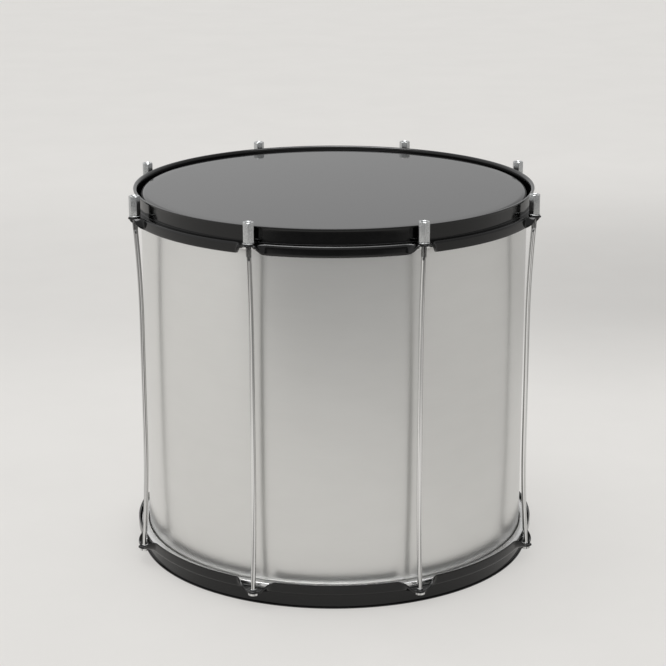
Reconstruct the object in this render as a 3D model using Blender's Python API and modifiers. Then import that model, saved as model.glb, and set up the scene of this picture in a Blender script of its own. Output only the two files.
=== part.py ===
# Two-headed samba drum: a rolled aluminium shell between two film heads, clamped by a pair of
# black pressed hoops. Eight plated rods hang from sleeve nuts on the top hoop's ears and pull
# on the bottom hoop's ears. The drum stands on the bottom hoop's lip.
# Metres, +Z up, origin on the floor under the middle of the drum. Front is -Y.

import bpy
import bmesh
from math import cos, pi, radians, sin
from mathutils import Matrix, Vector

# Sizes of the whole drum
OVERALL_HEIGHT = 0.3465
ROD_COUNT = 8
FIRST_ROD_ANGLE = radians(-112.5)

# Rolled sheet shell with its edges turned in to carry the heads
SHELL_RADIUS = 0.1793
SHELL_SHEET = 0.0012
EDGE_ROUND = 0.0048
EDGE_FLANGE = 0.005
EDGE_FLANGE_SLOPE = radians(35)

# Pressed hoops: a lip, an upright wall, a narrow shelf and a skirt, in one sheet
HOOP_SHEET = 0.0017
HOOP_LIP = 0.0028
SHELF_DEPTH = 0.0142
SHELF_FOLD = 0.0025
SKIRT_LENGTH = 0.0076

# Ears: the skirt swings up level and runs out to a round tip with a hole for the rod
EAR_TIP_RADIUS = 0.0065
EAR_LIP = 0.0039
EAR_WAIST = 0.002
EAR_HALF_WIDTH = 0.0135
EAR_TIP_HALF_WIDTH = 0.005
EAR_FLAT_HALF_WIDTH = 0.004
EAR_FOLD_HALF_WIDTH = 0.013
NOTCH_HALF_WIDTH = 0.0175

# Film heads, each crimped into a channel ring
TOP_HEAD_DEPTH = 0.0031
BOTTOM_HEAD_DEPTH = 0.00435
FILM = 0.0003
RING_HEIGHT = 0.0048
RING_WIDTH = 0.0073
RING_WALL = 0.001
FILM_TUCK = 0.0032

# Tension rods, upright in the ears and standing a little inwards between them
SHANK_RADIUS = 0.0022
THREAD_RADIUS = 0.00245
THREAD_SHOWN = 0.0098
THREAD_LEAD_IN = 0.0008
ROD_INSET = 0.0037
ROD_STRAIGHT_END = 0.0035
ROD_BEND = 0.008
ROD_BOW = 0.09
NECK_RADIUS = 0.0027
NECK_STAND = 0.0012
ROD_HEAD_RADIUS = 0.0049
ROD_HEAD_HEIGHT = 0.0026
ROD_HEAD_DOME = 0.001

# Sleeve nuts and washers
NUT_ACROSS_FLATS = 0.009
NUT_HEIGHT = 0.0175
NUT_CHAMFER = 0.0007
ROD_END_BELOW_NUT_TOP = 0.0012
WASHER_RADIUS = 0.0053
WASHER_THICKNESS = 0.0012

# Clearances
SEAT_GAP = 0.0003
RING_SHELL_CLEARANCE = 0.0008
WALL_COLLAR_CLEARANCE = 0.00065
SKIRT_RING_CLEARANCE = 0.00095
NUT_LIP_CLEARANCE = 0.0025
THREAD_CLEARANCE = 0.0003
HOLE_CLEARANCE = 0.0003
WASHER_CLEARANCE = 0.0004

# Facets
TURNED_STEPS = 48
ROD_STEPS = 8
WASHER_STEPS = 12
NUT_STEPS = 18
EAR_COLUMNS = (0.0, 0.2, 0.38, 0.55, 0.75, 1.0)
PLAIN_COLUMNS = 3
SMOOTH_ANGLE = radians(40)

# Radii, from the shell outwards: the head's ring and collar, the hoop's wall, its skirt and the rods
RING_INNER_RADIUS = SHELL_RADIUS + RING_SHELL_CLEARANCE
RING_OUTER_RADIUS = RING_INNER_RADIUS + RING_WIDTH
COLLAR_INNER_RADIUS = RING_INNER_RADIUS + RING_WALL + SEAT_GAP
HOOP_WALL_RADIUS = COLLAR_INNER_RADIUS + FILM + WALL_COLLAR_CLEARANCE + HOOP_SHEET / 2
SHELF_ROOT_RADIUS = HOOP_WALL_RADIUS + HOOP_SHEET / 2
FOLD_REACH = SHELF_FOLD / 2 * (cos(pi / 8) + cos(3 * pi / 8))
SKIRT_RADIUS = RING_OUTER_RADIUS + SKIRT_RING_CLEARANCE + HOOP_SHEET / 2
SHELF_LENGTH = SKIRT_RADIUS - FOLD_REACH - SHELF_ROOT_RADIUS
NUT_CORNER_RADIUS = NUT_ACROSS_FLATS / 2 / cos(pi / 6)
ROD_CIRCLE_RADIUS = HOOP_WALL_RADIUS + HOOP_LIP + NUT_CORNER_RADIUS + NUT_LIP_CLEARANCE
EAR_HOLE_RADIUS = NECK_RADIUS + HOLE_CLEARANCE
EAR_REACH = ROD_CIRCLE_RADIUS + EAR_TIP_RADIUS - EAR_LIP - SHELF_FOLD - SHELF_ROOT_RADIUS


def clear_scene():
    for obj in list(bpy.data.objects):
        bpy.data.objects.remove(obj, do_unlink=True)


def new_collection(name):
    collection = bpy.data.collections.new(name)
    bpy.context.scene.collection.children.link(collection)
    return collection


def principled(name, colour, metallic, roughness):
    material = bpy.data.materials.new(name)
    material.use_nodes = True
    shader = material.node_tree.nodes["Principled BSDF"]
    shader.inputs["Base Color"].default_value = (*colour, 1)
    shader.inputs["Metallic"].default_value = metallic
    shader.inputs["Roughness"].default_value = roughness
    material.diffuse_color = (*colour, 1)
    return material


def shade(mesh):
    mesh.shade_smooth()
    mesh.set_sharp_from_angle(angle=SMOOTH_ANGLE)


def add_object(name, mesh, material, collection):
    """Links a new object and gives its mesh the material."""
    if not mesh.materials:
        mesh.materials.append(material)
    obj = bpy.data.objects.new(name, mesh)
    collection.objects.link(obj)
    return obj


def smooth_step(value):
    t = min(max(value, 0.0), 1.0)
    return t * t * (3 - 2 * t)


def bell(value):
    """1 at 0, falling smoothly to 0 at 1."""
    return 0.5 * (1 + cos(pi * min(abs(value), 1.0)))


def profile_mesh(name, points):
    """An open or closed line of (radius, height) points as the edges of a mesh in the XZ plane."""
    mesh = bpy.data.meshes.new(name)
    closed = points[0][0] > 0
    edges = [(i, i + 1) for i in range(len(points) - 1)]
    if closed:
        edges.append((len(points) - 1, 0))
    mesh.from_pydata([(r, 0, z) for r, z in points], edges, [])
    return mesh


def turn(obj, steps):
    """Turns the object's profile round Z."""
    screw = obj.modifiers.new("turn", "SCREW")
    screw.steps = steps
    screw.render_steps = steps
    screw.use_merge_vertices = True
    screw.merge_threshold = 1e-5
    screw.use_smooth_shade = True
    return obj


def baked(obj):
    """The object's evaluated mesh, as a mesh of its own; the object is removed."""
    graph = bpy.context.evaluated_depsgraph_get()
    mesh = bpy.data.meshes.new_from_object(obj.evaluated_get(graph))
    bpy.data.objects.remove(obj, do_unlink=True)
    return mesh


def offset_line(points, distance):
    """The line moved sideways, to the left of its direction, with mitred corners."""
    moved = []
    for i, (x, z) in enumerate(points):
        before = Vector(points[max(i - 1, 0)])
        here = Vector((x, z))
        after = Vector(points[min(i + 1, len(points) - 1)])
        arriving = (here - before).normalized() if i else (after - here).normalized()
        leaving = (after - here).normalized() if i < len(points) - 1 else arriving
        left = Vector((-arriving.y - leaving.y, arriving.x + leaving.x)).normalized()
        mitre = left.dot(Vector((-arriving.y, arriving.x)))
        moved.append(tuple(here + left * distance / mitre))
    return moved


def arc(centre, radius, start, end, steps):
    """Points of an arc from the start to the end angle, both from +X towards +Z."""
    angles = [start + (end - start) * i / steps for i in range(steps + 1)]
    return [(centre[0] + radius * cos(a), centre[1] + radius * sin(a)) for a in angles]


def rod_angle(index):
    return FIRST_ROD_ANGLE + 2 * pi * index / ROD_COUNT


# Heights of the top half, measured in the drum's frame. The bottom half is its mirror image.
SHELF_UPPER_FACE = OVERALL_HEIGHT - SHELF_DEPTH
SHELF_MIDDLE = SHELF_UPPER_FACE - HOOP_SHEET / 2
RING_TOP = SHELF_UPPER_FACE - HOOP_SHEET - SEAT_GAP
SEAT_HEIGHT = SHELF_UPPER_FACE
BOTTOM_SEAT_HEIGHT = OVERALL_HEIGHT - SEAT_HEIGHT


def mirrored(points):
    """The top half's profile turned upside down for the bottom half, still running the same way round."""
    return [(r, OVERALL_HEIGHT - z) for r, z in reversed(points)]


def edge_centre(depth):
    """The middle of the shell's rolled edge, where the head lies this far below its hoop's rim."""
    return SHELL_RADIUS - EDGE_ROUND, OVERALL_HEIGHT - depth - FILM - SEAT_GAP - EDGE_ROUND


def shell_edge(depth):
    """The middle line of the sheet's turned edge, over the top and down its sloping flange."""
    rise = EDGE_FLANGE_SLOPE + pi / 2
    edge = arc(edge_centre(depth), EDGE_ROUND - SHELL_SHEET / 2, 0, rise, 3)
    r, z = edge[-1]
    edge.append((r - EDGE_FLANGE * cos(EDGE_FLANGE_SLOPE), z - EDGE_FLANGE * sin(EDGE_FLANGE_SLOPE)))
    return edge


def make_shell(material, collection):
    """The sheet's middle line, from the bottom flange up the wall to the top one, given its thickness."""
    half = SHELL_SHEET / 2
    middle = mirrored(shell_edge(BOTTOM_HEAD_DEPTH)) + shell_edge(TOP_HEAD_DEPTH)
    outline = offset_line(middle, -half)[::-1] + offset_line(middle, half)
    shell = add_object("shell", profile_mesh("shell", outline), material, collection)
    return turn(shell, TURNED_STEPS)


def film_outline(depth):
    """A head's film: flat, over the shell's edge, down the collar and into its ring."""
    inner = arc(edge_centre(depth), EDGE_ROUND + SEAT_GAP, pi / 2, 0, 3)
    inner.append((COLLAR_INNER_RADIUS, RING_TOP))
    inner.append((COLLAR_INNER_RADIUS, RING_TOP - FILM_TUCK))
    middle = (0, OVERALL_HEIGHT - depth - FILM)
    return offset_line([middle] + inner, FILM) + inner[::-1] + [middle]


def make_heads(film_material, ring_material, collection):
    inner, outer = RING_INNER_RADIUS, RING_OUTER_RADIUS
    floor = RING_TOP - RING_HEIGHT
    ring = [
        (outer, RING_TOP),
        (outer, floor),
        (inner, floor),
        (inner, RING_TOP),
        (inner + RING_WALL, RING_TOP),
        (inner + RING_WALL, floor + RING_WALL),
        (outer - RING_WALL, floor + RING_WALL),
        (outer - RING_WALL, RING_TOP),
    ]
    heads = (("top", TOP_HEAD_DEPTH, lambda points: points), ("bottom", BOTTOM_HEAD_DEPTH, mirrored))
    for side, depth, flip in heads:
        pieces = (("film", film_outline(depth), film_material), ("ring", ring, ring_material))
        for kind, outline, material in pieces:
            name = f"{side}_head_{kind}"
            turn(add_object(name, profile_mesh(name, flip(outline)), material, collection), TURNED_STEPS)


def hoop_section(along):
    """The middle line of the hoop's sheet at this distance along the skirt from an ear's middle.

    It runs from the lip's free edge down the wall and out over the shelf. Beside an ear, the
    shelf reaches further out and the fold after it opens from a right angle until it is flat."""
    wall = HOOP_WALL_RADIUS
    line = [(wall + HOOP_LIP, OVERALL_HEIGHT - HOOP_SHEET / 2), (wall, OVERALL_HEIGHT - HOOP_SHEET / 2)]
    line.append((wall, SHELF_MIDDLE + HOOP_SHEET / 2))
    line.append((SHELF_ROOT_RADIUS, SHELF_MIDDLE))
    reach = SHELF_LENGTH + (EAR_REACH - SHELF_LENGTH) * bell(along / EAR_HALF_WIDTH)
    edge = EAR_WAIST + (EAR_LIP - EAR_WAIST) * bell(along / EAR_TIP_HALF_WIDTH)
    grown = (along - EAR_TIP_HALF_WIDTH) / (NOTCH_HALF_WIDTH - EAR_TIP_HALF_WIDTH)
    edge += (SKIRT_LENGTH - EAR_WAIST) * smooth_step(grown)
    folded = (along - EAR_FLAT_HALF_WIDTH) / (EAR_FOLD_HALF_WIDTH - EAR_FLAT_HALF_WIDTH)
    fold = pi / 2 * smooth_step(folded)
    r, z = SHELF_ROOT_RADIUS + reach, SHELF_MIDDLE
    line.append((r, z))
    for heading, length in ((fold * 0.25, SHELF_FOLD / 2), (fold * 0.75, SHELF_FOLD / 2), (fold, edge)):
        r, z = r + length * cos(heading), z - length * sin(heading)
        line.append((r, z))
    return line


def hoop_columns():
    """Angles from an ear's middle and distances along the skirt, over one ear and its plain arc."""
    pitch = 2 * pi / ROD_COUNT
    half = NOTCH_HALF_WIDTH / SKIRT_RADIUS
    offsets = sorted({side * part for part in EAR_COLUMNS for side in (-1, 1)})
    columns = [(part * half, abs(part) * NOTCH_HALF_WIDTH) for part in offsets]
    plain = pitch - 2 * half
    for i in range(1, PLAIN_COLUMNS + 1):
        columns.append((half + plain * i / (PLAIN_COLUMNS + 1), NOTCH_HALF_WIDTH))
    return columns


def hoop_surface(name):
    """The top hoop's sheet as an open surface: its sections lofted round the drum."""
    rows = []
    for index in range(ROD_COUNT):
        for turned, along in hoop_columns():
            angle = rod_angle(index) + turned
            rows.append([(r * cos(angle), r * sin(angle), z) for r, z in hoop_section(along)])
    sheet = bmesh.new()
    verts = [[sheet.verts.new(point) for point in row] for row in rows]
    for here, after in zip(verts, verts[1:] + verts[:1]):
        for i in range(len(here) - 1):
            sheet.faces.new((here[i], here[i + 1], after[i + 1], after[i]))
    mesh = bpy.data.meshes.new(name)
    sheet.to_mesh(mesh)
    sheet.free()
    return mesh


def make_ear_drill(collection):
    """One drill through every ear."""
    drill = bmesh.new()
    for index in range(ROD_COUNT):
        angle = rod_angle(index)
        seat = (ROD_CIRCLE_RADIUS * cos(angle), ROD_CIRCLE_RADIUS * sin(angle), SEAT_HEIGHT)
        bmesh.ops.create_cone(
            drill,
            cap_ends=True,
            segments=WASHER_STEPS,
            radius1=EAR_HOLE_RADIUS,
            radius2=EAR_HOLE_RADIUS,
            depth=10 * HOOP_SHEET,
            matrix=Matrix.Translation(seat),
        )
    mesh = bpy.data.meshes.new("ear_drill")
    drill.to_mesh(mesh)
    drill.free()
    obj = bpy.data.objects.new("ear_drill", mesh)
    obj.hide_render = True
    obj.display_type = "WIRE"
    collection.objects.link(obj)
    return obj


def make_hoops(material, collection, cutters):
    """The top hoop, thickened and drilled, and the same pressing upside down at the bottom."""
    top = add_object("top_hoop", hoop_surface("top_hoop"), material, collection)
    sheet = top.modifiers.new("sheet", "SOLIDIFY")
    sheet.thickness = HOOP_SHEET
    sheet.offset = 0
    sheet.use_even_offset = True
    holes = top.modifiers.new("ear_holes", "BOOLEAN")
    holes.operation = "DIFFERENCE"
    holes.solver = "EXACT"
    holes.object = make_ear_drill(cutters)
    mesh = baked(top)
    mesh.name = "top_hoop"
    shade(mesh)
    add_object("top_hoop", mesh, material, collection)
    upside_down = mesh.copy()
    upside_down.transform(Matrix.Translation((0, 0, OVERALL_HEIGHT)) @ Matrix.Scale(-1, 4, (0, 0, 1)))
    upside_down.flip_normals()
    add_object("bottom_hoop", upside_down, material, collection)


def rod_inset(height):
    """How far inside the ears' circle the rod's middle line runs at this height."""
    beyond = min(height - BOTTOM_SEAT_HEIGHT, SEAT_HEIGHT - height) - ROD_STRAIGHT_END
    bent = min(max(beyond, 0), ROD_BEND)
    bowed = min(max(beyond - ROD_BEND, 0), ROD_BOW)
    lean = 2 * ROD_INSET / (ROD_BEND + ROD_BOW)
    return lean * (bent * bent / (2 * ROD_BEND) + bowed - bowed * bowed / (2 * ROD_BOW))


def rod_mesh(material, collection):
    """One rod, turned as a straight blank and then bent. Its frame: +X outwards, origin on the floor."""
    top = SEAT_HEIGHT + 2 * SEAT_GAP + WASHER_THICKNESS + NUT_HEIGHT - ROD_END_BELOW_NUT_TOP
    thread_start = SEAT_HEIGHT - HOOP_SHEET - THREAD_SHOWN
    neck_top = BOTTOM_SEAT_HEIGHT + HOOP_SHEET + NECK_STAND
    head_top = BOTTOM_SEAT_HEIGHT - SEAT_GAP
    bends = [ROD_STRAIGHT_END, ROD_STRAIGHT_END + ROD_BEND / 2]
    bows = [ROD_STRAIGHT_END + ROD_BEND + ROD_BOW * i / 2 for i in range(3)]
    blank = [(0, top), (THREAD_RADIUS - THREAD_LEAD_IN, top), (THREAD_RADIUS, top - THREAD_LEAD_IN)]
    blank += [(THREAD_RADIUS, SEAT_HEIGHT - below) for below in bends]
    blank.append((THREAD_RADIUS, thread_start))
    blank.append((SHANK_RADIUS, thread_start - (THREAD_RADIUS - SHANK_RADIUS)))
    blank += [(SHANK_RADIUS, SEAT_HEIGHT - below) for below in bows[1:]]
    blank += [(SHANK_RADIUS, BOTTOM_SEAT_HEIGHT + above) for above in bows[::-1] + bends[:0:-1]]
    blank += [
        (SHANK_RADIUS, neck_top + NECK_RADIUS - SHANK_RADIUS),
        (NECK_RADIUS, neck_top),
        (NECK_RADIUS, head_top),
        (ROD_HEAD_RADIUS, head_top),
        (ROD_HEAD_RADIUS, head_top - ROD_HEAD_HEIGHT + ROD_HEAD_DOME),
        (ROD_HEAD_RADIUS - ROD_HEAD_DOME, head_top - ROD_HEAD_HEIGHT),
        (0, head_top - ROD_HEAD_HEIGHT),
    ]
    mesh = baked(turn(add_object("rod_blank", profile_mesh("rod", blank), material, collection), ROD_STEPS))
    for vert in mesh.vertices:
        vert.co.x -= rod_inset(vert.co.z)
    mesh.name = "rod"
    shade(mesh)
    return mesh


def washer_mesh(material, collection):
    """Seated on the ear, whose face is at height 0."""
    bore = THREAD_RADIUS + WASHER_CLEARANCE
    top = SEAT_GAP + WASHER_THICKNESS
    outline = [(WASHER_RADIUS, top), (WASHER_RADIUS, SEAT_GAP), (bore, SEAT_GAP), (bore, top)]
    blank = add_object("washer_blank", profile_mesh("washer", outline), material, collection)
    mesh = baked(turn(blank, WASHER_STEPS))
    mesh.name = "washer"
    shade(mesh)
    return mesh


def nut_mesh(material, collection, cutters):
    """A long hexagon nut on the washer, its corners turned down at both ends, bored right through."""
    low = 2 * SEAT_GAP + WASHER_THICKNESS
    corner = NUT_CORNER_RADIUS
    body = bmesh.new()
    bmesh.ops.create_cone(
        body,
        cap_ends=True,
        segments=6,
        radius1=corner,
        radius2=corner,
        depth=NUT_HEIGHT,
        matrix=Matrix.Translation((0, 0, low + NUT_HEIGHT / 2)),
    )
    mesh = bpy.data.meshes.new("nut")
    body.to_mesh(mesh)
    body.free()
    nut = add_object("nut_blank", mesh, material, collection)
    high = low + NUT_HEIGHT
    flat = corner - NUT_CHAMFER
    turned = [
        (0, high),
        (flat, high),
        (corner, high - NUT_CHAMFER),
        (corner, low + NUT_CHAMFER / 2),
        (corner - NUT_CHAMFER / 2, low),
        (0, low),
    ]
    envelope = add_object("nut_turned", profile_mesh("nut_turned", turned), material, cutters)
    turn(envelope, NUT_STEPS)
    bore = THREAD_RADIUS + THREAD_CLEARANCE
    above, below = high + NUT_HEIGHT, low - NUT_HEIGHT
    drilled = [(0, above), (bore, above), (bore, below), (0, below)]
    drill = turn(add_object("nut_drill", profile_mesh("nut_drill", drilled), material, cutters), WASHER_STEPS)
    for operation, tool in (("INTERSECT", envelope), ("DIFFERENCE", drill)):
        tool.hide_render = True
        tool.display_type = "WIRE"
        cut = nut.modifiers.new(tool.name, "BOOLEAN")
        cut.operation = operation
        cut.solver = "EXACT"
        cut.object = tool
    mesh = baked(nut)
    mesh.name = "nut"
    mesh.shade_smooth()
    mesh.set_sharp_from_angle(angle=radians(20))
    return mesh


def make_hardware(plated, collection, cutters):
    """Eight rods, with a washer and a nut on each."""
    rod = rod_mesh(plated, collection)
    washer = washer_mesh(plated, collection)
    nut = nut_mesh(plated, collection, cutters)
    for index in range(ROD_COUNT):
        angle = rod_angle(index)
        foot = Vector((ROD_CIRCLE_RADIUS * cos(angle), ROD_CIRCLE_RADIUS * sin(angle), 0))
        number = index + 1
        obj = add_object(f"rod_{number}", rod, plated, collection)
        obj.location = foot
        obj.rotation_euler = (0, 0, angle)
        for name, mesh in (("washer", washer), ("nut", nut)):
            obj = add_object(f"{name}_{number}", mesh, plated, collection)
            obj.location = foot + Vector((0, 0, SEAT_HEIGHT))
            obj.rotation_euler = (0, 0, angle)


def main():
    clear_scene()
    drum = new_collection("samba_drum")
    cutters = new_collection("cutters")
    aluminium = principled("brushed_aluminium", (0.72, 0.72, 0.71), 1.0, 0.32)
    polished = principled("polished_aluminium", (0.85, 0.85, 0.84), 1.0, 0.18)
    black = principled("black_paint", (0.012, 0.012, 0.012), 0.0, 0.3)
    film = principled("black_film", (0.01, 0.01, 0.01), 0.0, 0.08)
    plated = principled("bright_plating", (0.78, 0.78, 0.79), 1.0, 0.14)
    make_shell(aluminium, drum)
    make_heads(film, polished, drum)
    make_hoops(black, drum, cutters)
    make_hardware(plated, drum, cutters)


main()
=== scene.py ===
from math import cos, pi, radians, sin

import bmesh
import bpy
from mathutils import Matrix, Vector


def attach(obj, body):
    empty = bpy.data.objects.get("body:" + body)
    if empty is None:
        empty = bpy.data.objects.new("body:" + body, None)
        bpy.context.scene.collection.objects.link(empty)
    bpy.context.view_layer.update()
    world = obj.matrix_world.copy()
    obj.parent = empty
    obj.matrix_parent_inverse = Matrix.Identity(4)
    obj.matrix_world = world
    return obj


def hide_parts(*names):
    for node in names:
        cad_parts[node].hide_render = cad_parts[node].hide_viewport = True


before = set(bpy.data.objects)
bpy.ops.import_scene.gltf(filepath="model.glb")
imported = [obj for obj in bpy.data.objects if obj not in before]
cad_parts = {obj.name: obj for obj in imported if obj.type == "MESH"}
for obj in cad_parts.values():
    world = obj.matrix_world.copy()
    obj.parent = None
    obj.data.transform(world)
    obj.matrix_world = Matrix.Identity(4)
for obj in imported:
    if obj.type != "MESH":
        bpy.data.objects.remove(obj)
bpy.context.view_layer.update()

# The drum stands on the floor round the Z axis and its front is -Y. Everything is in metres.
drum = {
    "height": 0.3465,
    "rods": 8,
    "firstRod": radians(-112.5),
    "rodCircle": 0.193696,
    "seat": 0.3323,        # top face of the upper hoop's ears
    "lowSeat": 0.0142,     # bottom face of the lower hoop's ears
    "gap": 0.0003,         # between pieces that touch
}


# Small helpers for working on one piece at a time

def only(piece):
    bpy.ops.object.select_all(action="DESELECT")
    piece.select_set(True)
    bpy.context.view_layer.objects.active = piece


def newPiece(name):  # the primitive that was just added
    piece = bpy.context.object
    piece.name = name
    piece.data.name = name
    only(piece)
    return piece


def editMode(piece):
    only(piece)
    bpy.ops.object.mode_set(mode="EDIT")


def objectMode():
    bpy.ops.object.mode_set(mode="OBJECT")


def pick(piece, test):  # in edit mode, selects the points that pass the test
    bpy.ops.mesh.select_mode(type="VERT")
    mesh = bmesh.from_edit_mesh(piece.data)
    for vert in mesh.verts:
        vert.select = test(vert.co)
    mesh.select_flush(True)
    mesh.select_flush(False)
    bmesh.update_edit_mesh(piece.data)


def freeze(piece):  # its place, turn and size go into its mesh
    only(piece)
    bpy.ops.object.transform_apply(location=True, rotation=True, scale=True)


def applyAll(piece):
    only(piece)
    for modifier in list(piece.modifiers):
        bpy.ops.object.modifier_apply(modifier=modifier.name)


def faceOut(piece):
    editMode(piece)
    bpy.ops.mesh.select_all(action="SELECT")
    bpy.ops.mesh.remove_doubles(threshold=1e-6)
    bpy.ops.mesh.normals_make_consistent(inside=False)
    objectMode()


def smooth(piece, degrees):
    only(piece)
    bpy.ops.object.shade_smooth_by_angle(angle=radians(degrees))


def drawRing(steps):  # the selected ring is extruded from each (radius, height) to the next
    for (r0, z0), (r1, z1) in zip(steps, steps[1:]):
        bpy.ops.mesh.extrude_region_move(TRANSFORM_OT_translate={"value": (0, 0, z1 - z0)})
        if r1 != r0:
            bpy.ops.transform.resize(value=(r1 / r0, r1 / r0, 1), center_override=(0, 0, z1))


def arcSteps(centre, radius, start, end, count):  # (radius, height) points, angles in degrees
    angles = [radians(start + (end - start) * i / count) for i in range(count + 1)]
    return [(centre[0] + radius * cos(a), centre[1] + radius * sin(a)) for a in angles]


def turned(name, steps, sides, fill="NOTHING"):  # a circle drawn through the steps, its ends as fill says
    radius, level = steps[0]
    bpy.ops.mesh.primitive_circle_add(vertices=sides, radius=radius, fill_type=fill, location=(0, 0, level))
    piece = newPiece(name)
    freeze(piece)
    editMode(piece)
    bpy.ops.mesh.select_mode(type="EDGE")
    bpy.ops.mesh.select_all(action="SELECT")
    if fill != "NOTHING":
        bpy.ops.mesh.region_to_loop()
    drawRing(steps)
    if fill == "NGON":
        bpy.ops.mesh.edge_face_add()
    objectMode()
    return piece


def addSheet(piece, thickness):  # a wall of this thickness, with the surface in its middle
    sheet = piece.modifiers.new("sheet", "SOLIDIFY")
    sheet.thickness = thickness
    sheet.offset = 0
    sheet.use_even_offset = True
    return sheet


def thicken(piece, thickness):
    faceOut(piece)
    addSheet(piece, thickness)
    applyAll(piece)
    faceOut(piece)


def soften(piece, width, segments, degrees):  # rounds the edges sharper than that
    bevel = piece.modifiers.new("soften", "BEVEL")
    bevel.width = width
    bevel.segments = segments
    bevel.limit_method = "ANGLE"
    bevel.angle_limit = radians(degrees)
    applyAll(piece)


def cut(piece, tool, operation):
    boolean = piece.modifiers.new("cut", "BOOLEAN")
    boolean.operation = operation
    boolean.solver = "EXACT"
    boolean.object = tool
    applyAll(piece)
    bpy.data.objects.remove(tool, do_unlink=True)


def turnOver(piece):  # from the top of the drum to its foot
    editMode(piece)
    bpy.ops.mesh.select_all(action="SELECT")
    bpy.ops.transform.resize(value=(1, 1, -1), center_override=(0, 0, drum["height"] / 2))
    objectMode()
    faceOut(piece)


def dress(piece, material, body, nodeName):
    piece.data.materials.clear()
    piece.data.materials.append(material)
    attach(piece, body)
    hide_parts(nodeName)


def rodAngle(k):
    return drum["firstRod"] + 2 * pi * (k - 1) / drum["rods"]


def rodPlace(k, level):
    return drum["rodCircle"] * cos(rodAngle(k)), drum["rodCircle"] * sin(rodAngle(k)), level


def setRound(piece, kind, material, bodyOf, turns=(0,) * drum["rods"]):
    # One copy at each rod, with a mesh of its own and turned by so many degrees
    for k in range(1, drum["rods"] + 1):
        only(piece)
        bpy.ops.object.duplicate()
        copy = newPiece(f"{kind}_{k}_dressed")
        copy.rotation_euler = (0, 0, rodAngle(k) + radians(turns[k - 1]))
        copy.location = rodPlace(k, 0)
        freeze(copy)
        dress(copy, material, bodyOf(k), f"{kind}_{k}")
    bpy.data.objects.remove(piece, do_unlink=True)


# Materials. A pattern is its stretch along X, Y and Z, its size and its detail. A bump is its strength and
# its depth.

noiseSpan = (0.3, 0.7)    # nearly all of what a pattern gives


def newMaterial(name):
    material = bpy.data.materials.new(name)
    material.use_nodes = True
    return material, material.node_tree, material.node_tree.nodes["Principled BSDF"]


def addNode(tree, kind, inputs=None, **settings):
    node = tree.nodes.new(kind)
    for setting, value in settings.items():
        setattr(node, setting, value)
    for socket, value in (inputs or {}).items():
        if isinstance(value, bpy.types.NodeSocket):
            tree.links.new(value, node.inputs[socket])
        else:
            node.inputs[socket].default_value = value
    return node


def placeIn(tree):
    return addNode(tree, "ShaderNodeTexCoord").outputs["Object"]


def noise(tree, stretch, size, detail, roughness=0.5, place=None):
    place = placeIn(tree) if place is None else place
    along = addNode(tree, "ShaderNodeMapping", {"Vector": place, "Scale": stretch})
    inputs = {"Vector": along.outputs["Vector"], "Scale": size, "Detail": detail, "Roughness": roughness}
    return addNode(tree, "ShaderNodeTexNoise", inputs).outputs["Fac"]


def remap(tree, value, source, target=(0.0, 1.0), kind="LINEAR"):
    inputs = {"Value": value, "From Min": source[0], "From Max": source[1]}
    inputs.update({"To Min": target[0], "To Max": target[1]})
    return addNode(tree, "ShaderNodeMapRange", inputs, interpolation_type=kind).outputs["Result"]


def ease(tree, value, source, target=(0.0, 1.0)):
    return remap(tree, value, source, target, "SMOOTHSTEP")


def calculate(tree, operation, first, second=0.0):
    return addNode(tree, "ShaderNodeMath", {0: first, 1: second}, operation=operation).outputs[0]


def shaded(tree, colour, amount):
    return addNode(tree, "ShaderNodeVectorMath", {0: colour, 1: amount}, operation="MULTIPLY").outputs[0]


def mixColours(tree, factor, look):  # from the look's dark colour to its light one
    mix = tree.nodes.new("ShaderNodeMix")
    mix.data_type = "RGBA"
    tree.links.new(factor, mix.inputs[0])
    mix.inputs[6].default_value = (*look["dark"], 1)
    mix.inputs[7].default_value = (*look["light"], 1)
    return mix.outputs[2]


def bump(tree, height, amount, under=None):
    inputs = {"Height": height, "Strength": amount[0], "Distance": amount[1]}
    if under is not None:
        inputs["Normal"] = under
    return addNode(tree, "ShaderNodeBump", inputs).outputs["Normal"]


brushedLook = {
    "dark": (0.745, 0.743, 0.727),
    "light": (0.765, 0.763, 0.747),
    "fine": ((30, 30, 4000), 1.0, 3.0),
    "broad": ((25, 25, 60), 1.0, 2.0),
    "clouds": ((9, 9, 5), 1.0, 3.0),
    "streaks": (0.7, 1.3),         # of fine and broad together, from dark to light
    "roughness": (0.31, 0.35),
    "clouding": (-0.02, 0.02),     # added to the roughness
    "anisotropy": 0.54,
    "anisotropyTurn": 0.25,
    "bump": (0.06, 0.00002),
}


def makeBrushedAluminium():
    look = brushedLook
    material, tree, shader = newMaterial("brushedAluminium")
    fine = noise(tree, *look["fine"])
    both = calculate(tree, "ADD", fine, noise(tree, *look["broad"]))
    tone = mixColours(tree, remap(tree, both, look["streaks"]), look)
    clouding = remap(tree, noise(tree, *look["clouds"]), noiseSpan, look["clouding"])
    rough = calculate(tree, "ADD", remap(tree, fine, noiseSpan, look["roughness"]), clouding)
    shader.inputs["Metallic"].default_value = 1.0
    tree.links.new(tone, shader.inputs["Base Color"])
    tree.links.new(rough, shader.inputs["Roughness"])
    # The brush ran round the drum, so what the metal mirrors is spread up and down
    shader.inputs["Anisotropic"].default_value = look["anisotropy"]
    shader.inputs["Anisotropic Rotation"].default_value = look["anisotropyTurn"]
    along = addNode(tree, "ShaderNodeVectorMath", {0: (0, 0, 1), 1: placeIn(tree)}, operation="CROSS_PRODUCT")
    tree.links.new(along.outputs["Vector"], shader.inputs["Tangent"])
    tree.links.new(bump(tree, fine, look["bump"]), shader.inputs["Normal"])
    return material


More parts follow.
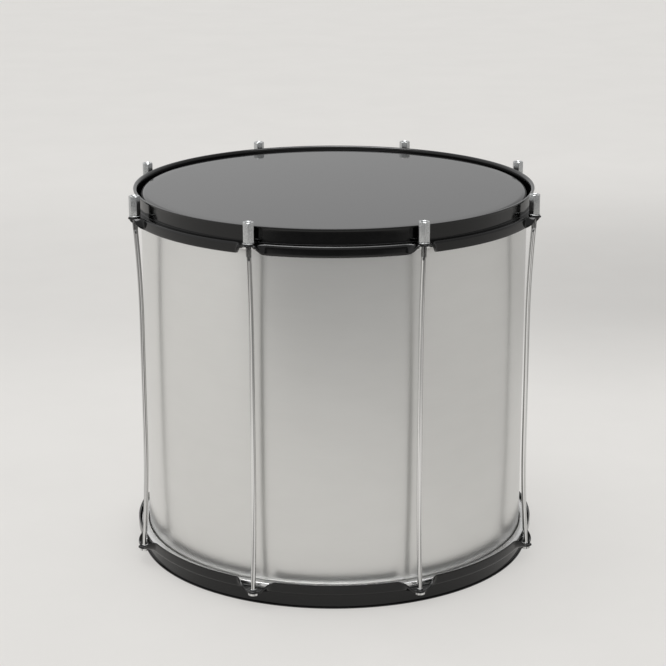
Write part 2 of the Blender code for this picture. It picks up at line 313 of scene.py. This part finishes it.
polishedLook = {
    "dark": (0.73, 0.73, 0.725),
    "light": (0.80, 0.80, 0.795),
    "lines": ((30, 30, 2500), 1.0, 2.0),
    "roughness": (0.22, 0.3),
    "bump": (0.15, 0.00002),
}


def makePolishedAluminium():
    look = polishedLook
    material, tree, shader = newMaterial("polishedAluminium")
    lines = noise(tree, *look["lines"])
    shader.inputs["Metallic"].default_value = 1.0
    tree.links.new(mixColours(tree, lines, look), shader.inputs["Base Color"])
    tree.links.new(remap(tree, lines, noiseSpan, look["roughness"]), shader.inputs["Roughness"])
    tree.links.new(bump(tree, lines, look["bump"]), shader.inputs["Normal"])
    return material


paintLook = {
    "dark": (0.001, 0.001, 0.001),
    "light": (0.002, 0.002, 0.002),
    "peel": ((1, 1, 1), 900.0, 2.0),
    "wave": ((1, 1, 1), 90.0, 2.0),
    "roughness": (0.1, 0.15),
    "gloss": 0.44,
    "peelBump": (0.1, 0.00006),
    "waveBump": (0.12, 0.0004),
}


def makeHoopPaint():
    look = paintLook
    material, tree, shader = newMaterial("hoopPaint")
    peel = noise(tree, *look["peel"])
    wave = noise(tree, *look["wave"])
    tree.links.new(mixColours(tree, wave, look), shader.inputs["Base Color"])
    tree.links.new(remap(tree, wave, noiseSpan, look["roughness"]), shader.inputs["Roughness"])
    shader.inputs["Specular IOR Level"].default_value = look["gloss"]
    under = bump(tree, wave, look["waveBump"])
    tree.links.new(bump(tree, peel, look["peelBump"], under), shader.inputs["Normal"])
    return material


filmLook = {
    "dark": (0.004, 0.004, 0.0042),
    "light": (0.007, 0.007, 0.0072),
    "drift": ((1, 1, 1), 14.0, 3.0),
    "haze": ((1, 1, 1), 160.0, 4.0),
    "roughness": (0.05, 0.08),
    "ior": 1.58,
    "bump": (0.03, 0.0003),
}


def makeHeadFilm():
    look = filmLook
    material, tree, shader = newMaterial("headFilm")
    drift = noise(tree, *look["drift"])
    haze = noise(tree, *look["haze"])
    tree.links.new(mixColours(tree, drift, look), shader.inputs["Base Color"])
    tree.links.new(remap(tree, haze, noiseSpan, look["roughness"]), shader.inputs["Roughness"])
    shader.inputs["IOR"].default_value = look["ior"]
    tree.links.new(bump(tree, drift, look["bump"]), shader.inputs["Normal"])
    return material


platedLook = {
    "dark": (0.2, 0.2, 0.198),
    "light": (0.84, 0.84, 0.835),
    # lines down the rod: painted reflection in the colour, die marks in the roughness and bump
    "marksAndReflections": ((1150, 1150, 4), 1.0, 1.0),
    "reflectionEdges": (0.4, 0.55),      # of the painted reflection lines, from dark to light
    "clouds": ((1, 1, 1), 120.0, 3.0),
    "roughness": (0.04, 0.08),
    "clouding": (-0.02, 0.03),
    "threadShade": 0.6,                  # share of the light that painted shade leaves on the threads, for the shade in their grooves
    "threadShadeLine": (0.3203, 0.3209),   # heights between which it starts
    "bump": (0.04, 0.00002),
}


def makePlatedSteel():
    look = platedLook
    material, tree, shader = newMaterial("platedSteel")
    # Painted reflection: dark lines down the chrome, which follow the rod, so they read where each point was
    # before it was bent
    straight = addNode(tree, "ShaderNodeAttribute", attribute_name="straight").outputs["Vector"]
    marksAndReflections = noise(tree, *look["marksAndReflections"], place=straight)
    tone = mixColours(tree, remap(tree, marksAndReflections, look["reflectionEdges"]), look)
    height = addNode(tree, "ShaderNodeSeparateXYZ", {0: placeIn(tree)}).outputs["Z"]
    # Painted shade: the threaded top is darkened, for the shade in its grooves
    tone = shaded(tree, tone, remap(tree, height, look["threadShadeLine"], (1, look["threadShade"])))
    clouding = remap(tree, noise(tree, *look["clouds"]), noiseSpan, look["clouding"])
    rough = calculate(tree, "ADD", remap(tree, marksAndReflections, noiseSpan, look["roughness"]), clouding)
    shader.inputs["Metallic"].default_value = 1.0
    tree.links.new(tone, shader.inputs["Base Color"])
    tree.links.new(rough, shader.inputs["Roughness"])
    tree.links.new(bump(tree, marksAndReflections, look["bump"]), shader.inputs["Normal"])
    return material


zincLook = {
    "dark": (0.36, 0.37, 0.37),
    "light": (0.70, 0.71, 0.71),
    "grains": ((1, 1, 1), 1100.0, 4.0, 0.6),
    "roughness": (0.26, 0.4),
    "bump": (0.5, 0.0002),
}


def makeZincSteel():
    look = zincLook
    material, tree, shader = newMaterial("zincSteel")
    grains = noise(tree, *look["grains"])
    shader.inputs["Metallic"].default_value = 1.0
    tree.links.new(mixColours(tree, remap(tree, grains, noiseSpan), look), shader.inputs["Base Color"])
    tree.links.new(remap(tree, grains, noiseSpan, look["roughness"]), shader.inputs["Roughness"])
    tree.links.new(bump(tree, grains, look["bump"]), shader.inputs["Normal"])
    return material


brushedAluminium = makeBrushedAluminium()
polishedAluminium = makePolishedAluminium()
hoopPaint = makeHoopPaint()
headFilm = makeHeadFilm()
platedSteel = makePlatedSteel()
zincSteel = makeZincSteel()
print("materials made")


# The shell: one rolled sheet whose edges turn in over a bead and end in a sloping flange
shell = {
    "radius": 0.1793,
    "sheet": 0.0012,
    "top": 0.3428,
    "bottom": 0.00495,
    "bead": 0.0048,
    "beadSteps": 8,
    "flange": 0.005,
    "slope": 35,
    "sides": 192,
    "smoothTo": 35,    # degrees
}


def rolledEdge(top):  # from the wall's end, over the bead and down the flange
    middle = shell["bead"] - shell["sheet"] / 2
    centre = (shell["radius"] - shell["bead"], top - shell["bead"])
    steps = arcSteps(centre, middle, 0, 90 + shell["slope"], shell["beadSteps"])
    r, z = steps[-1]
    slope = radians(shell["slope"])
    steps.append((r - shell["flange"] * cos(slope), z - shell["flange"] * sin(slope)))
    return steps


def makeShell():
    middle = shell["radius"] - shell["sheet"] / 2
    wallTop, wallFoot = shell["top"] - shell["bead"], shell["bottom"] + shell["bead"]
    bpy.ops.mesh.primitive_cylinder_add(vertices=shell["sides"], radius=middle, depth=wallTop - wallFoot,
                                        end_fill_type="NOTHING", location=(0, 0, (wallTop + wallFoot) / 2))
    piece = newPiece("shell_dressed")
    freeze(piece)
    editMode(piece)
    pick(piece, lambda co: co.z > wallTop - 1e-5)
    drawRing(rolledEdge(shell["top"]))
    pick(piece, lambda co: co.z < wallFoot + 1e-5)
    drawRing([(r, drum["height"] - z) for r, z in rolledEdge(drum["height"] - shell["bottom"])])
    objectMode()
    thicken(piece, shell["sheet"])
    smooth(piece, shell["smoothTo"])
    dress(piece, brushedAluminium, "drum", "shell")


makeShell()
print("shell rolled")


# The hoops: a flat strip, drawn into a lip, a wall, a shelf and a skirt, then pressed into an ear, repeated
# eight times and bent round
hoop = {
    "sheet": 0.0017,
    "lip": 0.0028,
    "lipCorner": 0.0014,
    "wallRadius": 0.1832,
    "wallCorner": 0.0011,
    "cornerSteps": 4,
    "wallRows": (0.33, 0.67),       # parts of the wall's height
    "shelfMiddle": 0.33145,
    "shelfEnd": 0.187567,
    "fold": 0.0025,                 # length of sheet that bends down into the skirt
    "foldSteps": 4,
    "skirt": 0.0076,
    "skirtRows": (0.35, 0.7, 1.0),
    "skirtRadius": 0.1892,
    "earReach": 0.009746,
    "earRoot": 0.18405,
    "earHalfWidth": 0.0135,
    "earLip": 0.0039,               # sheet past the fold at the middle of the ear
    "earWaist": 0.002,              # and beside it
    "earTipHalfWidth": 0.005,
    "earFlatHalfWidth": 0.004,
    "topFold": 0.0145,              # half width over which the skirt swings flat into an ear
    "bottomFold": 0.0195,
    "edgeHalfWidth": 0.016,         # where the skirt has all its depth again
    "edgeCurve": 2.6,
    "notchHalfWidth": 0.021,
    "earColumns": 34,
    "plainColumns": 8,
    "rimCrease": 0.8,
    "hole": 0.003,
    "holeSides": 32,
    "drill": 0.012,
    "smoothTo": 40,
}


def easeIn(value):
    t = min(max(value, 0.0), 1.0)
    return t * t * (3 - 2 * t)


def bell(value):
    return 0.5 * (1 + cos(pi * min(abs(value), 1.0)))


def sectionMoves():  # steps outwards and down, from the lip to the skirt's edge, all flat past the shelf
    top = drum["height"] - hoop["sheet"] / 2
    wall, big, small = hoop["wallRadius"], hoop["lipCorner"], hoop["wallCorner"]
    low = hoop["shelfMiddle"]
    points = arcSteps((wall + big, top - big), big, 90, 180, hoop["cornerSteps"])
    for part in hoop["wallRows"]:
        points.append((wall, (top - big) + (low + small - top + big) * part))
    points += arcSteps((wall + small, low + small), small, 180, 270, hoop["cornerSteps"])
    for i in range(hoop["foldSteps"] + 1):
        points.append((hoop["shelfEnd"] + hoop["fold"] * i / hoop["foldSteps"], low))
    for part in hoop["skirtRows"]:
        points.append((hoop["shelfEnd"] + hoop["fold"] + hoop["skirt"] * part, low))
    return [(r1 - r0, z1 - z0) for (r0, z0), (r1, z1) in zip(points, points[1:])]


def pressColumn(piece, x, foldWidth):
    # Pulls the ear out at this column, trims its edge and folds its skirt down as far as it goes here
    along = abs(x) * hoop["skirtRadius"] / drum["rodCircle"]
    level = hoop["shelfMiddle"]
    plain = drum["rodCircle"] - hoop["shelfEnd"]
    pull = (hoop["earRoot"] + hoop["earReach"] - hoop["shelfEnd"]) * bell(along / hoop["earHalfWidth"])
    foldEnd = plain - hoop["fold"]
    edge = hoop["earWaist"] + (hoop["earLip"] - hoop["earWaist"]) * bell(along / hoop["earTipHalfWidth"])
    grown = (along - hoop["earTipHalfWidth"]) / (hoop["edgeHalfWidth"] - hoop["earTipHalfWidth"])
    left = 1 - min(max(grown, 0), 1)
    edge += (hoop["skirt"] - hoop["earWaist"]) * (1 - left ** hoop["edgeCurve"])
    folded = (along - hoop["earFlatHalfWidth"]) / (foldWidth - hoop["earFlatHalfWidth"])
    fold = pi / 2 * easeIn(folded)

    def beyond(y):
        return lambda co: abs(co.x - x) < 1e-5 and co.y < y + 1e-6

    if abs(edge - hoop["skirt"]) > 1e-7:
        pick(piece, beyond(foldEnd))
        bpy.ops.transform.resize(value=(1, edge / hoop["skirt"], 1), center_override=(x, foldEnd, level))
    if pull > 1e-7:
        pick(piece, beyond(plain))
        bpy.ops.transform.translate(value=(0, -pull, 0))
    if fold > 1e-6:
        count = hoop["foldSteps"]
        for i in range(count, -1, -1):
            hinge = plain - pull - hoop["fold"] * i / count
            share = 0.5 / count if i in (0, count) else 1 / count
            pick(piece, beyond(hinge))
            bpy.ops.transform.rotate(value=-fold * share, orient_axis="X", center_override=(x, hinge, level))


def pressSector(foldWidth):  # one ear and the plain hoop on both sides of it, as a strip along X
    radius = drum["rodCircle"]
    pitch = 2 * pi * radius / drum["rods"]
    half = hoop["notchHalfWidth"] * radius / hoop["skirtRadius"]
    start = hoop["wallRadius"] + hoop["lip"]
    inner = hoop["wallRadius"] + hoop["lipCorner"]
    place = (0, radius - (start + inner) / 2, drum["height"] - hoop["sheet"] / 2)
    bpy.ops.mesh.primitive_grid_add(x_subdivisions=hoop["earColumns"], y_subdivisions=1, size=1,
                                    location=place)
    strip = newPiece("hoopStrip")
    bpy.ops.transform.resize(value=(2 * half, start - inner, 1))
    freeze(strip)
    editMode(strip)
    plainStep = (pitch / 2 - half) / hoop["plainColumns"]
    for side in (-1, 1):
        for i in range(hoop["plainColumns"]):
            end = side * (half + plainStep * i)
            pick(strip, lambda co: abs(co.x - end) < 1e-5)
            bpy.ops.mesh.extrude_region_move(TRANSFORM_OT_translate={"value": (side * plainStep, 0, 0)})
    innerRow = radius - inner
    pick(strip, lambda co: co.y > innerRow - 1e-5)
    for outwards, up in sectionMoves():
        bpy.ops.mesh.extrude_region_move(TRANSFORM_OT_translate={"value": (0, -outwards, up)})
    columns = sorted({round(vert.co.x, 6) for vert in bmesh.from_edit_mesh(strip.data).verts})
    for x in columns:
        pressColumn(strip, x, foldWidth)
    objectMode()
    return strip, pitch


def bendRound(strip, pitch):
    repeat = strip.modifiers.new("repeat", "ARRAY")
    repeat.count = drum["rods"]
    repeat.use_relative_offset = False
    repeat.use_constant_offset = True
    repeat.constant_offset_displace = (pitch, 0, 0)
    repeat.use_merge_vertices = True
    repeat.merge_threshold = 1e-5
    applyAll(strip)
    strip.location.x = -pitch * (drum["rods"] - 1) / 2
    freeze(strip)
    bend = strip.modifiers.new("bend", "SIMPLE_DEFORM")
    bend.deform_method = "BEND"
    bend.deform_axis = "Z"
    bend.angle = 2 * pi
    applyAll(strip)
    strip.location.y = -drum["rodCircle"]
    freeze(strip)


def earDrill():
    drills = []
    for k in range(1, drum["rods"] + 1):
        bpy.ops.mesh.primitive_cylinder_add(vertices=hoop["holeSides"], radius=hoop["hole"],
                                            depth=hoop["drill"], location=rodPlace(k, drum["seat"]))
        drills.append(newPiece(f"drill{k}"))
        freeze(drills[-1])
    only(drills[0])
    for drill in drills[1:]:
        drill.select_set(True)
    bpy.ops.object.join()
    return drills[0]


def makeHoop(name, foldWidth):  # as the top hoop
    piece, pitch = pressSector(foldWidth)
    bendRound(piece, pitch)
    piece.name = piece.data.name = name
    faceOut(piece)
    sheet = addSheet(piece, hoop["sheet"])
    sheet.edge_crease_rim = hoop["rimCrease"]
    finer = piece.modifiers.new("finer", "SUBSURF")
    finer.levels = finer.render_levels = 1
    applyAll(piece)
    faceOut(piece)
    cut(piece, earDrill(), "DIFFERENCE")
    return piece


def makeHoops():
    top = makeHoop("top_hoop_dressed", hoop["topFold"])
    bottom = makeHoop("bottom_hoop_dressed", hoop["bottomFold"])
    turnOver(bottom)
    for piece, nodeName in ((top, "top_hoop"), (bottom, "bottom_hoop")):
        smooth(piece, hoop["smoothTo"])
        dress(piece, hoopPaint, "drum", nodeName)


makeHoops()
print("hoops pressed")


# The heads: a film drawn over the shell's bead and tucked into a channel ring
head = {
    "film": 0.0003,
    "topDepth": 0.0031,       # below the rim
    "bottomDepth": 0.00435,
    "filmRings": (0.02, 0.06, 0.1, 0.14, 0.165),
    "beadEnd": 10,            # degrees, where the film leaves the bead
    "beadSteps": 10,
    "collarInner": 0.1814,
    "collarEase": 0.0006,     # above the ring, where the collar starts to hang straight
    "tuck": 0.0032,
    "ringTop": 0.3303,
    "ringInner": 0.1801,
    "ringOuter": 0.1874,
    "ringHeight": 0.0048,
    "ringWall": 0.001,
    "ringCorner": 0.0006,
    "sides": 192,
    "smoothTo": 40,
}


def makeFilm(name, depth):  # as the top head
    half = head["film"] / 2
    flat = drum["height"] - depth - half
    centre = (shell["radius"] - shell["bead"], flat - half - drum["gap"] - shell["bead"])
    tucked = head["collarInner"] + half
    steps = [(r, flat) for r in head["filmRings"]]
    steps += arcSteps(centre, flat - centre[1], 90, head["beadEnd"], head["beadSteps"])
    steps += [(tucked, head["ringTop"] + head["collarEase"]), (tucked, head["ringTop"] - head["tuck"])]
    film = turned(name, steps, head["sides"], "TRIFAN")
    thicken(film, head["film"])
    return film


def makeRing(name):  # as the top head's
    wall = head["ringWall"] / 2
    inner, outer = head["ringInner"] + wall, head["ringOuter"] - wall
    floor = head["ringTop"] - head["ringHeight"] + wall
    corner = head["ringCorner"]
    steps = [(inner, head["ringTop"]), (inner, floor + corner), (inner + corner / 3, floor + corner / 3),
             (inner + corner, floor), (outer - corner, floor), (outer - corner / 3, floor + corner / 3),
             (outer, floor + corner), (outer, head["ringTop"])]
    ring = turned(name, steps, head["sides"])
    thicken(ring, head["ringWall"])
    return ring


def makeHeads():
    for side, part in (("top", "ring"), ("top", "film"), ("bottom", "film"), ("bottom", "ring")):
        nodeName = f"{side}_head_{part}"
        if part == "ring":
            piece = makeRing(f"{nodeName}_dressed")
        else:
            piece = makeFilm(f"{nodeName}_dressed", head[f"{side}Depth"])
        if side == "bottom":
            turnOver(piece)
        smooth(piece, head["smoothTo"])
        if part == "ring":
            dress(piece, polishedAluminium, "drum", nodeName)
        else:
            dress(piece, headFilm, "drum", nodeName)


makeHeads()
print("heads drawn")


# The rods: drawn straight, threaded at the top, headed at the bottom, then bent a little inwards
rod = {
    "shank": 0.0022,
    "shankFoot": 0.018,
    "shankTop": 0.3203,
    "shankSteps": 90,
    "thread": 0.00245,
    "threadRoot": 0.00202,
    "threadStart": 0.3208,
    "threadSteps": 36,
    "threadSides": 20,
    "threadSunk": 0.0001,      # how far the thread's foot lies in the root
    "threadFlank": 0.00037,    # half height of the thread at its foot
    "threadCrest": 0.00006,    # and at its crest
    "pitch": 0.0008,
    "top": 0.3502,
    "leadIn": 0.0008,
    "neck": 0.0027,
    "neckTop": 0.0171,
    "edge": 0.0003,            # of the neck and of the tip
    "headTop": 0.0139,
    "headRadius": 0.0049,
    "headHeight": 0.0026,
    "headEdge": 0.0002,
    "headRound": ((0.0016, 0), (0.00075, 0.0002), (0.00025, 0.00055), (0, 0.001)),  # inwards and up
    "inset": 0.0037,
    "straightEnd": 0.0035,
    "bend": 0.008,
    "bow": 0.09,
    "bendStep": 0.0005,
    "sides": 24,
    "smoothTo": 35,
}


def rodInset(z):  # how far inside the ears' circle the rod runs at this height
    past = min(z - drum["lowSeat"], drum["seat"] - z) - rod["straightEnd"]
    bent = min(max(past, 0), rod["bend"])
    bowed = min(max(past - rod["bend"], 0), rod["bow"])
    lean = 2 * rod["inset"] / (rod["bend"] + rod["bow"])
    return lean * (bent * bent / (2 * rod["bend"]) + bowed - bowed * bowed / (2 * rod["bow"]))


def makeThread():
    foot, crest = rod["threadRoot"] - rod["threadSunk"], rod["thread"]
    bpy.ops.mesh.primitive_plane_add(size=1, location=(0, 0, 0), rotation=(pi / 2, 0, 0))
    thread = newPiece("thread")
    freeze(thread)
    editMode(thread)
    bpy.ops.mesh.select_all(action="SELECT")
    bpy.ops.transform.resize(value=(crest - foot, 1, 2 * rod["threadFlank"]), center_override=(0, 0, 0))
    bpy.ops.transform.translate(value=((foot + crest) / 2, 0, rod["threadStart"]))
    pick(thread, lambda co: co.x > (foot + crest) / 2)
    bpy.ops.transform.resize(value=(1, 1, rod["threadCrest"] / rod["threadFlank"]),
                             center_override=(crest, 0, rod["threadStart"]))
    bpy.ops.mesh.select_all(action="SELECT")
    bpy.ops.mesh.delete(type="ONLY_FACE")
    objectMode()
    wind = thread.modifiers.new("wind", "SCREW")
    wind.steps = wind.render_steps = rod["threadSides"]
    wind.iterations = int((rod["top"] - rod["leadIn"] - rod["threadStart"]) / rod["pitch"])
    wind.screw_offset = rod["pitch"]
    wind.use_merge_vertices = False
    applyAll(thread)
    editMode(thread)
    bpy.ops.mesh.select_all(action="DESELECT")
    bpy.ops.mesh.select_mode(type="EDGE")
    bpy.ops.mesh.select_non_manifold()
    bpy.ops.mesh.edge_face_add()
    objectMode()
    faceOut(thread)
    return thread


def rodSteps():
    headFoot, edge = rod["headTop"] - rod["headHeight"], rod["edge"]
    steps = [(rod["headRadius"] - inwards, headFoot + up) for inwards, up in rod["headRound"]]
    steps += [(rod["headRadius"], rod["headTop"] - rod["headEdge"]),
              (rod["headRadius"] - rod["headEdge"], rod["headTop"])]
    steps += [(rod["neck"], rod["headTop"]), (rod["neck"], rod["neckTop"] - edge),
              (rod["neck"] - edge, rod["neckTop"]), (rod["shank"], rod["neckTop"] + edge)]
    for radius, low, high, count in (
            (rod["shank"], rod["shankFoot"], rod["shankTop"], rod["shankSteps"]),
            (rod["threadRoot"], rod["threadStart"], rod["top"] - edge, rod["threadSteps"])):
        steps += [(radius, low + (high - low) * i / count) for i in range(count + 1)]
    return steps + [(rod["threadRoot"] - edge, rod["top"])]


def makeRod():
    piece = turned("rod", rodSteps(), rod["sides"], "NGON")
    faceOut(piece)
    thread = makeThread()
    only(piece)
    thread.select_set(True)
    bpy.ops.object.join()
    straight = piece.data.attributes.new("straight", "FLOAT_VECTOR", "POINT")
    straight.data.foreach_set("vector", [part for vert in piece.data.vertices for part in vert.co])
    editMode(piece)
    low = drum["lowSeat"]
    while low < drum["seat"]:
        high = low + rod["bendStep"]
        inset = rodInset((low + high) / 2)
        if inset > 0:
            pick(piece, lambda co: low <= co.z < high)
            bpy.ops.transform.translate(value=(-inset, 0, 0))
        low = high
    objectMode()
    smooth(piece, rod["smoothTo"])
    return piece


setRound(makeRod(), "rod", platedSteel, lambda k: "drum")
print("rods bent")


# Washers and sleeve nuts
washer = {
    "radius": 0.0053,
    "bore": 0.00285,
    "thickness": 0.0012,
    "edge": (0.0005, 3, 30),    # width and segments of the rounding, and the angle that it takes
    "sides": 48,
    "smoothTo": 40,
}
nut = {
    "flats": 0.009,
    "height": 0.0175,
    "chamfer": 0.0007,
    "footChamfer": (0.00035, 0.00042),          # inwards and up
    "envelopeSides": 96,
    "bore": 0.00275,
    "boreSides": 48,
    "countersink": 0.0004,
    "over": 0.002,                              # how far the cutters reach past the nut
    "clear": 0.0001,                            # between the envelope and the hexagon's corners
    "edge": (0.00018, 2, 25),
    "smoothTo": 25,
    "turns": (54, 13, 8, 41, 17, 50, 33, 3),    # degrees, as each was left when the drum was tuned
}


def makeWasher():
    low = drum["seat"] + drum["gap"]
    high = low + washer["thickness"]
    steps = [(washer["bore"], low), (washer["radius"], low), (washer["radius"], high), (washer["bore"], high)]
    piece = turned("washer", steps + [steps[0]], washer["sides"])
    faceOut(piece)
    soften(piece, *washer["edge"])
    smooth(piece, washer["smoothTo"])
    return piece


def makeNut():
    low = drum["seat"] + 2 * drum["gap"] + washer["thickness"]
    high = low + nut["height"]
    corner = nut["flats"] / 2 / cos(pi / 6)
    bpy.ops.mesh.primitive_cylinder_add(vertices=6, radius=corner, depth=nut["height"],
                                        location=(0, 0, (low + high) / 2))
    piece = newPiece("nut")
    freeze(piece)

    # A turned envelope takes the corners off both ends of the hexagon
    inwards, up = nut["footChamfer"]
    over, chamfer, widest = nut["over"], nut["chamfer"], corner + nut["clear"]
    steps = [(corner - inwards - over, low - over / 2), (corner - inwards, low), (widest, low + up),
             (widest, high - chamfer), (corner - chamfer, high), (corner - chamfer - over, high + over / 2)]
    envelope = turned("envelope", steps, nut["envelopeSides"], "NGON")
    faceOut(envelope)
    cut(piece, envelope, "INTERSECT")

    bore, sink = nut["bore"], nut["countersink"]
    steps = [(bore + sink + over, low - over), (bore, low + sink), (bore, high - sink),
             (bore + sink + over, high + over)]
    drill = turned("drill", steps, nut["boreSides"], "NGON")
    faceOut(drill)
    cut(piece, drill, "DIFFERENCE")
    soften(piece, *nut["edge"])
    smooth(piece, nut["smoothTo"])
    return piece


setRound(makeWasher(), "washer", zincSteel, lambda k: f"washer_{k}_body")
setRound(makeNut(), "nut", zincSteel, lambda k: f"nut_{k}_body", nut["turns"])
print("washers and nuts set")


# The floor, the light and the camera
room = {
    "dark": (0.78, 0.765375, 0.741),   # the floor's paper, with its faint drift
    "light": (0.80, 0.785, 0.76),
    "drift": ((1, 1, 1), 7.0, 6.0, 0.6),
    "roughness": 0.9,
    "gloss": 0.2,
    "size": 60,
    "rise": (0.3, 0.85),        # behind the drum, where the paper's soft shadow starts and is whole
    "fall": (1.8, 0.95),        # and where it has ended again
    "shadow": (0.09, 0.23),     # its depth on the left and on the right
    "shadowSides": (-0.1, 0.36),
    "fill": 0.65,               # share of the floor's own light in what is seen, so its shadows stay soft
    "fillStrength": 0.95,
    "edge": (1.0, 1.4),         # ahead of the drum, where metal sees the paper end
    "ground": 0.13,             # and the dark ground past it
    "sideShade": 0.22,          # how far the paper on the right falls off, as metal sees it
    "sideReach": 0.7,
    "world": 0.84,
    "backdrop": 0.7,
    "left": 0.78,               # what metal and film see on the left of the drum
    "right": 0.46,              # and on its right
    "sideSpan": (-0.7, 0.7),    # directions between which one passes into the other
    "ahead": 0.55,              # in the open, darker side of the room, where the photographer stands
    "open": (1.25, 1.05),       # half width of that side over its distance: all pale, and all dark
    "openStart": 0.15,          # how far a direction points ahead where that side is whole
    "back": 0.08,               # more straight behind the drum
    "backSpan": (0.2, 0.8),
    "above": 5.0,               # more straight above, where the lights hang
    "aboveSpan": (0.87, 0.95),
}
lamp = {"power": 8.0, "place": (-0.25, 0.1, 2.0), "target": (0, 0, 0.1), "size": (0.8, 0.7)}


def openSide(tree, split, span):  # 1 towards the dark side of the room, 0 elsewhere
    ahead = calculate(tree, "MULTIPLY", split["Y"], -1.0)
    aside = calculate(tree, "ABSOLUTE", split["X"])
    across = calculate(tree, "DIVIDE", aside, calculate(tree, "MAXIMUM", ahead, 0.001))
    return calculate(tree, "MULTIPLY", ease(tree, across, room["open"]), ease(tree, ahead, span))


def makeFloor():
    bpy.ops.mesh.primitive_plane_add(size=room["size"], location=(0, 0, 0))
    piece = newPiece("floor")
    freeze(piece)
    material, tree, shader = newMaterial("paleFloor")
    tone = mixColours(tree, remap(tree, noise(tree, *room["drift"]), noiseSpan), room)
    split = addNode(tree, "ShaderNodeSeparateXYZ", {0: placeIn(tree)}).outputs

    # Behind the drum the paper rises into a soft shadow, deeper on the right
    rise, fall = (ease(tree, split["Y"], room[span]) for span in ("rise", "fall"))
    band = calculate(tree, "MULTIPLY", rise, fall)
    depth = ease(tree, split["X"], room["shadowSides"], room["shadow"])
    shade = calculate(tree, "SUBTRACT", 1.0, calculate(tree, "MULTIPLY", band, depth))
    tone = shaded(tree, tone, shade)
    tree.links.new(tone, shader.inputs["Base Color"])
    shader.inputs["Roughness"].default_value = room["roughness"]
    shader.inputs["Specular IOR Level"].default_value = room["gloss"]

    # The camera and the metal see a part of it as plain paper, which softens the drum's own shadow
    path = addNode(tree, "ShaderNodeLightPath").outputs
    fill = addNode(tree, "ShaderNodeEmission", {"Color": tone, "Strength": room["fillStrength"]}).outputs[0]
    direct = calculate(tree, "MAXIMUM", path["Is Camera Ray"], path["Is Glossy Ray"])
    softened = calculate(tree, "MULTIPLY", direct, room["fill"])
    mix = addNode(tree, "ShaderNodeMixShader", {0: softened, 1: shader.outputs[0], 2: fill}).outputs[0]

    # Metal sees the paper end in front of the drum, where the darker side of the room begins
    aside = ease(tree, split["X"], (0.0, room["sideReach"]), (0.0, room["sideShade"]))
    part = calculate(tree, "MAXIMUM", openSide(tree, split, room["edge"]), aside)
    part = calculate(tree, "MULTIPLY", path["Is Glossy Ray"], part)
    ground = (room["ground"], room["ground"], room["ground"], 1)
    shown = addNode(tree, "ShaderNodeEmission", {"Color": ground, "Strength": 1.0}).outputs[0]
    mix = addNode(tree, "ShaderNodeMixShader", {0: part, 1: mix, 2: shown}).outputs[0]
    tree.links.new(mix, tree.nodes["Material Output"].inputs["Surface"])
    piece.data.materials.append(material)


def makeWorld():
    world = bpy.data.worlds.new("paleRoom")
    bpy.context.scene.world = world
    world.use_nodes = True
    tree = world.node_tree
    tree.nodes.clear()
    path = addNode(tree, "ShaderNodeLightPath").outputs
    direction = addNode(tree, "ShaderNodeTexCoord").outputs["Generated"]
    split = addNode(tree, "ShaderNodeSeparateXYZ", {0: direction}).outputs

    # What metal and film mirror: pale sides, a darker side ahead, and the lights above
    sides = ease(tree, split["X"], room["sideSpan"], (room["left"], room["right"]))
    dark = openSide(tree, split, (0.0, room["openStart"]))
    darker = calculate(tree, "MULTIPLY", calculate(tree, "SUBTRACT", room["ahead"], sides), dark)
    tone = calculate(tree, "ADD", sides, darker)
    tone = calculate(tree, "ADD", tone, ease(tree, split["Y"], room["backSpan"], (0.0, room["back"])))
    tone = calculate(tree, "ADD", tone, ease(tree, split["Z"], room["aboveSpan"], (0.0, room["above"])))

    def background(colour, strength):
        return addNode(tree, "ShaderNodeBackground", {"Color": colour, "Strength": strength}).outputs[0]

    light = background((1, 1, 1, 1), room["world"])
    back = background((room["backdrop"], room["backdrop"], room["backdrop"], 1), 1.0)
    grey = addNode(tree, "ShaderNodeCombineColor", {0: tone, 1: tone, 2: tone}).outputs[0]
    mirrored = background(grey, 1.0)
    seen = calculate(tree, "MAXIMUM", path["Is Camera Ray"], path["Is Transmission Ray"])
    mix = addNode(tree, "ShaderNodeMixShader", {0: seen, 1: light, 2: back}).outputs[0]
    mix = addNode(tree, "ShaderNodeMixShader", {0: path["Is Glossy Ray"], 1: mix, 2: mirrored}).outputs[0]
    addNode(tree, "ShaderNodeOutputWorld", {"Surface": mix})


def hangLamp():
    light = bpy.data.lights.new("overhead", "AREA")
    light.shape = "RECTANGLE"
    light.size, light.size_y = lamp["size"]
    light.energy = lamp["power"]
    holder = bpy.data.objects.new("overhead", light)
    bpy.context.scene.collection.objects.link(holder)
    holder.location = lamp["place"]
    towards = Vector(lamp["target"]) - Vector(lamp["place"])
    holder.rotation_euler = towards.to_track_quat("-Z", "Y").to_euler()


# The photographer stands this far from the drum's middle and looks down on it
view = {
    "distance": 1.78364,
    "height": 0.72534,
    "sideways": -0.00099,
    "down": 16.374,
    "round": -0.602,
    "roll": -0.094,
    "lens": 105.646,
    "sensor": 36,
    "near": 0.01,    # where the picture starts
}


def placeCamera():
    camera = bpy.data.cameras.new("photographer")
    camera.sensor_width = view["sensor"]
    camera.lens = view["lens"]
    camera.clip_start = view["near"]
    holder = bpy.data.objects.new("photographer", camera)
    bpy.context.scene.collection.objects.link(holder)
    aside = Matrix.Rotation(radians(view["round"]), 4, "Z")
    place = Matrix.Translation((view["sideways"], -view["distance"], view["height"]))
    tipped = Matrix.Rotation(radians(90 - view["down"]), 4, "X")
    rolled = Matrix.Rotation(radians(view["roll"]), 4, "Z")
    holder.matrix_world = aside @ place @ (tipped @ rolled)
    bpy.context.scene.camera = holder


makeFloor()
makeWorld()
hangLamp()
placeCamera()
bpy.context.scene.view_settings.view_transform = "Standard"
print("room lit")

bpy.ops.object.select_all(action="DESELECT")
bpy.context.view_layer.update()
